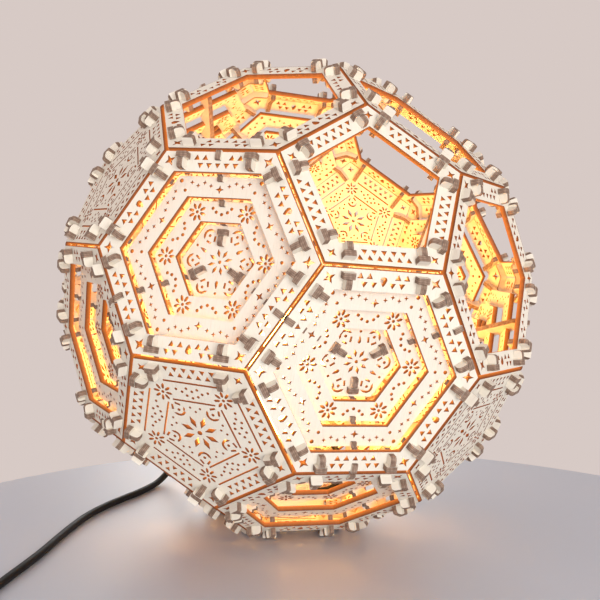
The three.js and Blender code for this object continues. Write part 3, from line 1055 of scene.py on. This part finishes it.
def spoke():
    """A stepped plate under the frame, both rings and the centre plate, with a part up through each."""
    end = HEXAGON_APOTHEM - 0.5
    start = HEXAGON_APOTHEM - EDGE_INSET - SPOKE_BAR
    under_frame = -PLY - 0.2
    top = [
        (end, BAR_PROUD, 0.5), (start, BAR_PROUD, 0.5),
        (start, under_frame, 0), (RING_1, under_frame, 0),
    ]
    step = RING_1
    for outer, depth in ((RING_1, RING_STEP), (RING_2, 2 * RING_STEP)):
        under = -depth - PLY
        proud = TAB_PROUD - depth
        inner = outer - SPOKE_TAB
        top += [(step, proud, 0.5), (inner, proud, 0.5), (inner, under, 0)]
        step = outer - RING_BAND - RING_GAP
        top.append((step, under, 0))
    under = -3 * RING_STEP - PLY
    neck_low = under + PLY + 0.1
    neck_top = under + PLY + CROWN_HEIGHT
    hook_in, hook_out = CROWN_HOOK
    neck_in, neck_out = hook_in + CROWN_LIP, hook_out - CROWN_LIP
    top += [
        (step, under, 0), (neck_out, under, 0), (neck_out, neck_low, 0),
        (hook_out, neck_low, 0), (hook_out, neck_top, 1.2),
        (hook_in, neck_top, 1.2), (hook_in, neck_low, 0),
        (neck_in, neck_low, 0), (neck_in, under, 0),
    ]
    tip = hook_in + 0.2
    low = under - SPOKE_DEPTH
    bottom = [
        (tip, under, 0), (tip, low, 1.0),
        (PLATE + 2, low, 0), (end - 2.4, under_frame - SPOKE_DEPTH, 1.0),
    ]
    return centred(cut_sheet([rounded(top + bottom, 3)]))


def spoke_places(radius=0.0, height=0.0, crosswise=False):
    """Where each spoke stands, or what lies at a radius along it."""
    places = []
    for face in FACES:
        for angle in (math.radians(60 + 120 * k) for k in range(3 * face.closed)):
            radial = face.place.to_3x3() @ Vector((math.cos(angle), math.sin(angle), 0))
            origin = face.place.translation + radial * radius + face.normal * height
            across = face.normal.cross(radial)
            places.append(standing(origin, across if crosswise else radial, face.normal))
    return places


def make_spokes():
    publish("ring_spokes", copies_of(spoke(), spoke_places()))
    key = centred(cut_sheet([rounded(key_outline(5.6, 3.0), 3)]))
    places = spoke_places(CROWN_HOOK[1] + PLY / 2 + 0.05, -3 * RING_STEP + 0.05, crosswise=True)
    publish("spoke_keys", copies_of(key, places))


# ---------------------------------------------------------------- the bulb and its holder

def lofted(loops, material, smooth=True, closed=True):
    """Skins loops of equally many points, one after another, and closes both ends."""
    made = bmesh.new()
    rings = [[made.verts.new(Vector(point) * MM) for point in loop] for loop in loops]
    for first, second in zip(rings, rings[1:]):
        for i, corner in enumerate(first):
            after = (i + 1) % len(first)
            made.faces.new((corner, first[after], second[after], second[i]))
    if closed:
        made.faces.new(rings[0])
        made.faces.new(rings[-1])
    bmesh.ops.remove_doubles(made, verts=made.verts, dist=1e-7)
    bmesh.ops.recalc_face_normals(made, faces=made.faces)
    mesh = bpy.data.meshes.new("lofted")
    made.to_mesh(mesh)
    made.free()
    mesh.materials.append(material)
    mesh.polygons.foreach_set("use_smooth", [smooth] * len(mesh.polygons))
    return mesh


def round_loop(radius, z, count=48):
    angles = [TAU * i / count for i in range(count)]
    return [(radius * math.cos(angle), radius * math.sin(angle), z) for angle in angles]


def lathed(profile, material, count=48):
    """Turns a profile of (radius, height) about the z axis."""
    return lofted([round_loop(max(r, 0.02), z, count) for r, z in profile], material)


def edge_split(piece, degrees=35):
    """Keeps a smooth piece's sharp edges sharp."""
    piece.data.set_sharp_from_angle(angle=math.radians(degrees))
    return piece


HOLDER_BASE = BALL_HEIGHT - PENTAGON_DISTANCE + PLY + 0.3
HOLDER_HEIGHT = 48.0
HOLDER_RADIUS = 20.0
CAP_RADIUS = 13.2
CAP_START = HOLDER_BASE + 17
GLOBE_START = HOLDER_BASE + HOLDER_HEIGHT + 0.5
GLOBE_RADIUS = 30.0
GLOBE_HEIGHT = 82.0


def make_holder():
    """A flange, a ribbed grip and a plain collar round a deep bore."""
    base, top, radius = HOLDER_BASE, HOLDER_BASE + HOLDER_HEIGHT, HOLDER_RADIUS
    bore, floor = CAP_RADIUS + 1, base + 14
    profile = [
        (0, base), (27.6, base), (28, base + 0.5), (28, base + 2.6),
        (27, base + 3.8), (22, base + 4), (radius, base + 5.5),
    ]
    for k in range(9):
        rib = base + 8 + 2.8 * k
        groove = radius - 0.7
        profile += [(radius, rib), (groove, rib + 0.5), (groove, rib + 1.2), (radius, rib + 1.7)]
    profile += [(radius, top - 14), (radius + 1, top - 13), (radius + 1, top - 1), (radius + 0.2, top)]
    profile += [(CAP_RADIUS + 1.6, top), (bore, top - 0.6), (bore, floor), (0, floor)]
    edge_split(publish("lampholder_shell", lathed(profile, WHITE), nodes=["lampholder"]))


def make_bulb():
    """An opal globe on a threaded cap with a contact at its foot."""
    start, end = CAP_START, GLOBE_START - 0.3
    cap = [(0, start - 1.5), (4, start - 1.5), (5, start)]
    cap += [(CAP_RADIUS - 3, start + 2), (CAP_RADIUS - 0.6, start + 4)]
    threads = 6
    steps = 8
    pitch = (end - start - 8) / threads
    for k in range(threads * steps):
        wave = math.cos(TAU * k / steps)
        cap.append((CAP_RADIUS - 0.6 + 0.55 * wave, start + 4.5 + pitch * k / steps))
    cap += [(CAP_RADIUS - 0.4, end - 2), (CAP_RADIUS, end), (0, end)]
    edge_split(publish("bulb_cap_shell", lathed(cap, METAL), "bulb", ["bulb_cap"]))

    centre = GLOBE_HEIGHT - GLOBE_RADIUS
    globe = [
        (0, 0), (13.6, 0), (14, 0.5), (14.6, 3), (15.6, 7),
        (17.4, 13), (19.6, 19), (22.6, 26.5), (25.4, 33.5),
    ]
    for k in range(13):
        angle = math.radians(-26 + 116 * k / 12)
        globe.append((GLOBE_RADIUS * math.cos(angle), centre + GLOBE_RADIUS * math.sin(angle)))
    profile = [(r, GLOBE_START + z) for r, z in globe]
    publish("bulb_globe_glass", lathed(profile, GLOBE), "bulb", ["bulb_globe"])


# ---------------------------------------------------------------- cord, gland, switch and plug

def foot_face():
    return next(face for face in FACES if face.name == "hexagon_foot_1")


def make_gland():
    """A flange and nut about the centre plate, and a ribbed boot that tapers along the cord."""
    face = -3 * RING_STEP
    back, front = face - PLY - 0.3, face + 0.3
    profile = [(0, back - 6), (7.5, back - 6), (8.4, back - 5.2), (8.4, back), (5.0, back), (5.0, front)]
    profile += [(8.0, front), (8.0, front + 2.2), (6.4, front + 3), (5.2, front + 3.2)]
    ribs = 7
    for k in range(ribs):
        z = front + 5 + 3 * k
        wide = 5.2 - 1.8 * (z - front - 3) / 26
        profile += [(wide, z), (wide - 0.7, z + 0.3), (wide - 0.7, z + 1.3), (wide, z + 1.6)]
    profile += [(3.6, front + 28.4), (3.0, front + 29), (0, front + 29)]
    mesh = lathed(profile, RUBBER, 32)
    mesh.transform(Matrix.Scale(MM, 4) @ foot_face().place @ Matrix.Scale(1 / MM, 4))
    return edge_split(publish("cable_gland_boot", mesh, nodes=["cable_gland"]))


INNER_ROUTE = [
    (20.6, 3.6, 17), (26, 4.6, 17), (33, 8, 18.5), (38, 16, 23), (38.5, 27, 31), (32, 38, 42),
    (20, 47, 53), (4, 52.5, 61), (-13, 53.5, 65.5), (-28.5, 48, 67.5), (-41, 38, 67.8), (-50.2, 31, 66.8),
]


def make_inner_lead():
    lead = tube("inner_lead_flex", [Vector(point) * MM for point in INNER_ROUTE], CORD / 2 * MM)
    lead.data.materials.append(SHEATH)
    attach(lead, "shade")
    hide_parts("inner_lead")


CORNER_STEPS = 6


def round_corner_loop(centre, half_x, half_y, z, corner):
    """A rectangle with round corners, level at a height."""
    points = []
    for quarter, (sx, sy) in enumerate(((1, 1), (-1, 1), (-1, -1), (1, -1))):
        x, y = centre[0] + sx * (half_x - corner), centre[1] + sy * (half_y - corner)
        for i in range(CORNER_STEPS + 1):
            angle = (quarter + i / CORNER_STEPS) * math.pi / 2
            points.append((x + corner * math.cos(angle), y + corner * math.sin(angle), z))
    return points


ROCKER_HALF = (5.2, 9.8)


def make_switch():
    """A two-part housing with a seam, and a pocket for the rocker."""
    width, length, height = SWITCH_SIZE
    levels = [(1.6, 0.0), (0.6, 0.3), (0.1, 1.2), (0.0, 2.4)]
    levels += [(0.0, 7.4), (0.35, 7.6), (0.35, 8.0), (0.0, 8.2)]
    levels += [(0.0, height - 3.2), (0.3, height - 1.6), (1.0, height - 0.5), (2.2, height)]
    loops = []
    for inset, z in levels:
        loops.append(round_corner_loop(SWITCH_CENTRE, width / 2 - inset, length / 2 - inset, z, 9 - inset))
    for spare, z, corner in ((1.3, height, 1.6), (0.7, height - 0.5, 1.2), (0.6, height - 5.8, 1.0)):
        half_x, half_y = ROCKER_HALF[0] + spare, ROCKER_HALF[1] + spare
        loops.append(round_corner_loop(SWITCH_CENTRE, half_x, half_y, z, corner))
    edge_split(publish("switch_housing", lofted(loops, BLACK), nodes=["switch_body"]))


def make_rocker():
    """A rocker with two sloping halves, tilted to its on side."""
    half_x, half_y = ROCKER_HALF
    tilt = math.radians(-7)
    profile = [(-half_y, -1), (-half_y + 4, -3.2), (half_y - 4, -3.2), (half_y, -1), (half_y, 3.2)]
    steps = 8
    for k in range(1, steps):
        share = 1 - 2 * k / steps
        profile.append((half_y * share, 2.2 + 1.0 * share ** 2))
    profile += [(-half_y, 3.2)]
    loops = []
    for x, shrink in ((-half_x, 0.35), (-half_x + 0.35, 0.0), (half_x - 0.35, 0.0), (half_x, 0.35)):
        loop = []
        for y, z in profile:
            y, z = y * (1 - shrink / half_y), z - math.copysign(shrink, z)
            loop.append((SWITCH_CENTRE[0] + x, SWITCH_CENTRE[1] + y * math.cos(tilt) - z * math.sin(tilt),
                         PIVOT_HEIGHT + y * math.sin(tilt) + z * math.cos(tilt)))
        loops.append(loop)
    mesh = lofted(loops, BLACK, smooth=False)
    return edge_split(publish("switch_rocker_cap", mesh, "rocker", ["switch_rocker"]))


def across_loop(half_x, half_z, y, corner):
    """A rectangle with round corners that stands across the plug."""
    flat = round_corner_loop((0, 0), half_x, half_z, 0, corner)
    return [(PLUG_START[0] + x, PLUG_START[1] + y, PLUG_START[2] + z) for x, z, _ in flat]


def make_plug():
    """A flat two-pin plug with a ribbed strain relief."""
    loops = [across_loop(2.5, 2.5, 0.0, 2.49), across_loop(3.1, 3.1, 0.4, 3.09)]
    for k in range(6):
        y, wide = 2.4 + 3.2 * k, 3.2 + 0.2 * k
        for along, inset in ((0.0, 0.0), (0.3, 0.7), (1.3, 0.7), (1.6, 0.0)):
            loops.append(across_loop(wide - inset, wide - inset, y + along, wide - inset - 0.01))
    shoulders = [(4.8, 4.6, 22.0, 4.4), (7.5, 5.6, 23.2, 4.0), (10.6, 6.4, 26.5, 3.4), (12.7, 6.7, 30.5, 3.0)]
    grip = [(13.0, 6.74, 34.0, 2.6), (12.8, 6.6, 50.0, 2.4), (12.6, 6.5, 53.2, 2.2), (12.0, 5.9, 54.0, 1.8)]
    loops += [across_loop(*section) for section in shoulders + grip]
    plug = edge_split(publish("plug_body", lofted(loops, BLACK), nodes=["plug"]))
    sleeves, tips = [], []
    for x in (-9.3, 9.3):
        centre = (PLUG_START[0] + x, PLUG_START[2])
        sleeves.append(pin(centre, [(1.95, 53.8), (1.95, 63.0)], BLACK))
        tips.append(pin(centre, [(2.0, 63.0), (2.0, 72.0), (1.6, 73.0), (0.9, 73.4)], METAL))
    sleeve = edge_split(publish("plug_pin_sleeves", merged(sleeves), nodes=["plug"]))
    tip = edge_split(publish("plug_pins", merged(tips), nodes=["plug"]))
    return [plug, sleeve, tip]


def pin(centre, profile, material):
    """A round bar along +y, from (radius, place)."""
    x, z = centre
    loops = []
    for radius, y in profile:
        loops.append([(x + a, PLUG_START[1] + y, z + b) for a, b, _ in round_loop(radius, 0, 20)])
    return lofted(loops, material)


def make_tie():
    """A strap round the coil's north side."""
    middle = COIL_OUTER - 1.5 * CORD
    half_x, half_z = 2 * CORD + 0.9, CORD + 0.05
    outer = round_corner_loop((middle, 0), half_x, half_z, 0, 2.6)
    inner = round_corner_loop((middle, 0), half_x - 0.8, half_z - 0.8, 0, 1.9)
    bands = []
    for loop, side in ((inner, -3.0), (outer, -3.0), (outer, 3.0), (inner, 3.0), (inner, -3.0)):
        bands.append([turned_point(radius, z + CORD, side) for radius, z, _ in loop])
    tie = publish("coil_tie", lofted(bands, RUBBER, closed=False))
    return edge_split(tie)


def turned_point(radius, z, side):
    """A point of the tie, whose strap lies across the coil's far side."""
    return (COIL_CENTRE[0] + side, COIL_CENTRE[1] - radius, max(z, 0.05))


def finish_cord():
    cord.data.materials.append(SHEATH)
    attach(cord, "shade")
    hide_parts("cord_lead", "cord_link", "cord_coil", "cord_tail")
    length_of(cord)


# ---------------------------------------------------------------- table and light

TABLE_CENTRE = (137.0, -233.0)
TABLE_RIM = [(415, 0), (419, -1), (420, -3), (420, -20)]


def make_table():
    """A round pale table top whose far rim is close behind the lamp."""
    top = lathed([(0, 0), *TABLE_RIM, (0, -20)], finish("table_top", table_top), 128)
    top.transform(Matrix.Translation((*[c * MM for c in TABLE_CENTRE], 0)))
    table = bpy.data.objects.new("table", top)
    bpy.context.scene.collection.objects.link(table)
    edge_split(table)


def area_light(name, at, aim, size, power, colour):
    light = bpy.data.lights.new(name, "AREA")
    light.shape = "DISK"
    light.size = size
    light.energy = power
    light.color = colour
    lamp = bpy.data.objects.new(name, light)
    lamp.location = at
    lamp.rotation_mode = "QUATERNION"
    lamp.rotation_quaternion = (Vector(aim) - Vector(at)).to_track_quat("-Z", "Y")
    bpy.context.scene.collection.objects.link(lamp)


def make_light():
    world = bpy.data.worlds.new("room")
    world.use_nodes = True
    world.node_tree.nodes.clear()
    tree = Tree(world.node_tree)
    sky = tree.add("ShaderNodeBackground", {}, {"Color": (0.68, 0.59, 0.56, 1), "Strength": 1.0})
    tree.add("ShaderNodeOutputWorld", {}, {"Surface": sky})
    bpy.context.scene.world = world
    centre = (0, 0, BALL_HEIGHT * MM)
    area_light("window", (0.5, -1.6, 0.25), centre, 1.0, 23, (0.97, 1.0, 0.99))
    area_light("fill", (-1.2, -1.0, 0.9), centre, 0.9, 2, (0.96, 0.97, 1.0))
    area_light("back", (-0.2, 1.7, 0.6), centre, 1.0, 12, (0.97, 1.0, 0.99))
    bpy.context.scene.view_settings.view_transform = "Standard"


make_panels()
make_rings()
make_brackets()
make_keys()
make_spokes()
make_holder()
make_bulb()
make_inner_lead()
gland = make_gland()
make_switch()
rocker = make_rocker()
plug_pieces = make_plug()
tie = make_tie()
finish_cord()
make_table()
make_light()
